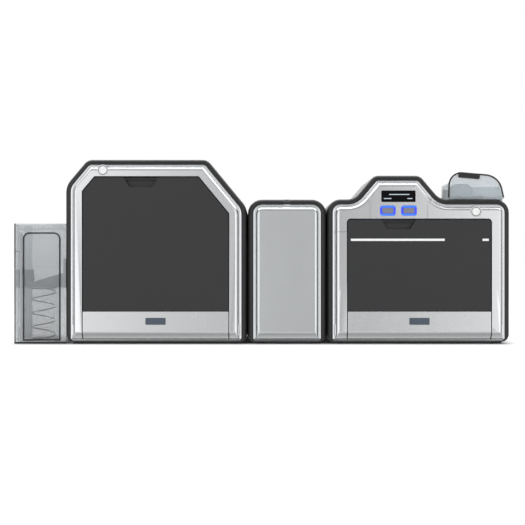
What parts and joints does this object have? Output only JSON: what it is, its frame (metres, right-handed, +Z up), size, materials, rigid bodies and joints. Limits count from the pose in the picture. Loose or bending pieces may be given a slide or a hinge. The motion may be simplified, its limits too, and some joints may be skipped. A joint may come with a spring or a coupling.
{
  "type": "id card printer",
  "caption": "Desktop card printer with laminator, flipper, drop-down front doors, lit buttons, smoked input hopper and smoked output hopper with sprung tray.",
  "frame": {"origin": "centre of the footprint at table level, bottom centre of the bounding box", "axes": "+X to the viewer's right along the row of modules, -Y towards the front doors, +Z up"},
  "size_m": [0.8446, 0.235, 0.314],
  "materials": {
    "shell": "fine texture",
    "silver": "satin",
    "band": "brushed",
    "panel_silver": "satin",
    "door_dark": "satin",
    "glass_black": "gloss",
    "button": "satin",
    "button_white": "satin",
    "light_ring": "lit",
    "steel": "satin",
    "rubber": "matt",
    "roller": "ground",
    "hot_roller": "satin",
    "cartridge": "satin",
    "film": "gloss",
    "ribbon": "gloss",
    "ribbon_used": "gloss",
    "board": "solder mask",
    "motor": "satin",
    "smoke": "smoked clear plastic",
    "cup": "satin",
    "tray": "satin",
    "spring": "bright wire",
    "black": "satin"
  },
  "bodies": {
    "housing": {"laminator_lower_shell": "shell", "laminator_top_shell": "shell", "laminator_bezel": "silver", "laminator_chassis": "steel", "laminate_cartridges": "cartridge", "flipper_lower_shell": "shell", "flipper_top_shell": "shell", "flipper_front_panel": "panel_silver", "flipper_chassis": "steel", "printer_lower_shell": "shell", "printer_top_shell": "shell", "printer_bezel": "silver", "control_panel": "silver", "display_lens": "glass_black", "button_light_rings": "light_ring", "printer_chassis": "steel", "printhead": "steel", "printer_cartridges": "cartridge", "control_boards": "board", "drive_motors": "motor", "power_supply": "steel", "input_hopper_cup": "cup", "output_hopper_base": "black", "output_hopper_body": "smoke", "output_spring": "spring", "rear_covers": "shell", "screws": "steel", "sockets": "black", "pins": "steel", "rubber_feet": "rubber"},
    "laminator_door": {"laminator_door_panel": "door_dark", "laminator_door_band": "band"},
    "printer_door": {"printer_door_panel": "door_dark", "printer_door_band": "band"},
    "flipper_lid_body": {"flipper_lid": "shell"},
    "input_lid_body": {"input_hopper_lid": "smoke", "input_hopper_grip": "black"},
    "output_door_body": {"output_hopper_door": "smoke", "output_door_frame": "black"},
    "output_tray_body": {"output_tray": "tray"},
    "left_button_body": {"left_option_button": "button"},
    "right_button_body": {"right_option_button": "button"},
    "laminator_power_body": {"laminator_power_button": "button_white"},
    "printer_power_body": {"printer_power_button": "button_white"},
    "heat_roller_body": {"heat_roller": "hot_roller"},
    "pressure_roller_body": {"pressure_roller": "roller"},
    "upper_supply_body": {"upper_laminate_supply": "film"},
    "upper_takeup_body": {"upper_laminate_takeup": "film"},
    "lower_supply_body": {"lower_laminate_supply": "film"},
    "lower_takeup_body": {"lower_laminate_takeup": "film"},
    "flipper_table_body": {"flipper_table": "cartridge"},
    "flipper_roller_body": {"flipper_roller": "roller"},
    "counter_roller_body": {"counter_roller": "roller"},
    "transfer_roller_body": {"transfer_roller": "hot_roller"},
    "feed_roller_body": {"card_feed_roller": "roller"},
    "platen_body": {"platen_roller": "roller"},
    "ribbon_supply_body": {"ribbon_supply_spool": "ribbon"},
    "ribbon_takeup_body": {"ribbon_takeup_spool": "ribbon_used"},
    "film_supply_body": {"film_supply_spool": "film"},
    "film_takeup_body": {"film_takeup_spool": "film"}
  },
  "joints": [
    {"name": "laminator_door_hinge", "type": "hinge", "parent": "housing", "child": "laminator_door", "pos_m": [-0.17975, -0.1015, 0.024], "axis": [1, 0, 0], "range_deg": [0, 90]},
    {"name": "printer_door_hinge", "type": "hinge", "parent": "housing", "child": "printer_door", "pos_m": [0.26675, -0.1015, 0.024], "axis": [1, 0, 0], "range_deg": [0, 90]},
    {"name": "flipper_lid_hinge", "type": "hinge", "parent": "housing", "child": "flipper_lid_body", "pos_m": [0.043, 0.056, 0.2425], "axis": [-1, 0, 0], "range_deg": [0, 75]},
    {"name": "input_lid_hinge", "type": "hinge", "parent": "housing", "child": "input_lid_body", "pos_m": [0.36675, -0.017, 0.253], "axis": [-1, 0, 0], "range_deg": [0, 75]},
    {"name": "output_door_hinge", "type": "hinge", "parent": "housing", "child": "output_door_body", "pos_m": [-0.41065, -0.101, 0.1], "axis": [0, 0, -1], "range_deg": [0, 110]},
    {"name": "output_tray_slide", "type": "slide", "parent": "housing", "child": "output_tray_body", "axis": [0, 0, -1], "range_m": [0, 0.06], "stiffness_N_per_m": 60, "springref_m": -0.06, "deforming": ["output_spring"]},
    {"name": "left_option_press", "type": "slide", "parent": "housing", "child": "left_button_body", "axis": [0, 1, 0], "range_m": [0, 0.0012], "stiffness_N_per_m": 400, "springref_m": -0.0008},
    {"name": "right_option_press", "type": "slide", "parent": "housing", "child": "right_button_body", "axis": [0, 1, 0], "range_m": [0, 0.0012], "stiffness_N_per_m": 400, "springref_m": -0.0008},
    {"name": "laminator_power_press", "type": "slide", "parent": "housing", "child": "laminator_power_body", "axis": [0, 1, 0], "range_m": [0, 0.0015], "stiffness_N_per_m": 400, "springref_m": -0.0008},
    {"name": "printer_power_press", "type": "slide", "parent": "housing", "child": "printer_power_body", "axis": [0, 1, 0], "range_m": [0, 0.0015], "stiffness_N_per_m": 400, "springref_m": -0.0008},
    {"name": "heat_roller_spin", "type": "hinge", "parent": "housing", "child": "heat_roller_body", "pos_m": [-0.17925, -0.06, 0.1974], "axis": [0, 1, 0], "continuous": true},
    {"name": "pressure_roller_spin", "type": "hinge", "parent": "housing", "child": "pressure_roller_body", "pos_m": [-0.17925, -0.06, 0.1726], "axis": [0, 1, 0], "continuous": true},
    {"name": "upper_supply_spin", "type": "hinge", "parent": "housing", "child": "upper_supply_body", "pos_m": [-0.23125, -0.06, 0.247], "axis": [0, 1, 0], "continuous": true},
    {"name": "upper_takeup_spin", "type": "hinge", "parent": "housing", "child": "upper_takeup_body", "pos_m": [-0.12725, -0.06, 0.247], "axis": [0, 1, 0], "continuous": true},
    {"name": "lower_supply_spin", "type": "hinge", "parent": "housing", "child": "lower_supply_body", "pos_m": [-0.23125, -0.06, 0.123], "axis": [0, 1, 0], "continuous": true},
    {"name": "lower_takeup_spin", "type": "hinge", "parent": "housing", "child": "lower_takeup_body", "pos_m": [-0.12725, -0.06, 0.123], "axis": [0, 1, 0], "continuous": true},
    {"name": "flipper_table_turn", "type": "hinge", "parent": "housing", "child": "flipper_table_body", "pos_m": [0.043, -0.06, 0.185], "axis": [0, 1, 0], "continuous": true},
    {"name": "flipper_roller_spin", "type": "hinge", "parent": "flipper_table_body", "child": "flipper_roller_body", "pos_m": [0.043, -0.06, 0.1766], "axis": [0, 1, 0], "continuous": true},
    {"name": "counter_roller_spin", "type": "hinge", "parent": "housing", "child": "counter_roller_body", "pos_m": [0.26125, -0.06, 0.1726], "axis": [0, 1, 0], "continuous": true},
    {"name": "transfer_roller_spin", "type": "hinge", "parent": "housing", "child": "transfer_roller_body", "pos_m": [0.26125, -0.06, 0.1974], "axis": [0, 1, 0], "continuous": true},
    {"name": "feed_roller_spin", "type": "hinge", "parent": "housing", "child": "feed_roller_body", "pos_m": [0.34125, -0.06, 0.1726], "axis": [0, 1, 0], "continuous": true},
    {"name": "platen_spin", "type": "hinge", "parent": "housing", "child": "platen_body", "pos_m": [0.23125, -0.06, 0.12], "axis": [0, 1, 0], "continuous": true},
    {"name": "ribbon_supply_spin", "type": "hinge", "parent": "housing", "child": "ribbon_supply_body", "pos_m": [0.34625, -0.06, 0.133], "axis": [0, 1, 0], "continuous": true},
    {"name": "ribbon_takeup_spin", "type": "hinge", "parent": "housing", "child": "ribbon_takeup_body", "pos_m": [0.34625, -0.06, 0.073], "axis": [0, 1, 0], "continuous": true},
    {"name": "film_supply_spin", "type": "hinge", "parent": "housing", "child": "film_supply_body", "pos_m": [0.18125, -0.06, 0.13], "axis": [0, 1, 0], "continuous": true},
    {"name": "film_takeup_spin", "type": "hinge", "parent": "housing", "child": "film_takeup_body", "pos_m": [0.18125, -0.06, 0.06], "axis": [0, 1, 0], "continuous": true}
  ],
  "couplings": [
    {"joint": "pressure_roller_spin", "follows": "heat_roller_spin", "ratio": -1},
    {"joint": "upper_supply_spin", "follows": "heat_roller_spin", "ratio": -0.4286},
    {"joint": "upper_takeup_spin", "follows": "heat_roller_spin", "ratio": -0.6667},
    {"joint": "lower_supply_spin", "follows": "heat_roller_spin", "ratio": 0.4286},
    {"joint": "lower_takeup_spin", "follows": "heat_roller_spin", "ratio": 0.6667},
    {"joint": "transfer_roller_spin", "follows": "counter_roller_spin", "ratio": -1},
    {"joint": "feed_roller_spin", "follows": "counter_roller_spin", "ratio": 1},
    {"joint": "film_supply_spin", "follows": "counter_roller_spin", "ratio": -0.5455},
    {"joint": "film_takeup_spin", "follows": "counter_roller_spin", "ratio": -0.8},
    {"joint": "ribbon_supply_spin", "follows": "platen_spin", "ratio": -0.5455},
    {"joint": "ribbon_takeup_spin", "follows": "platen_spin", "ratio": -0.8}
  ]
}
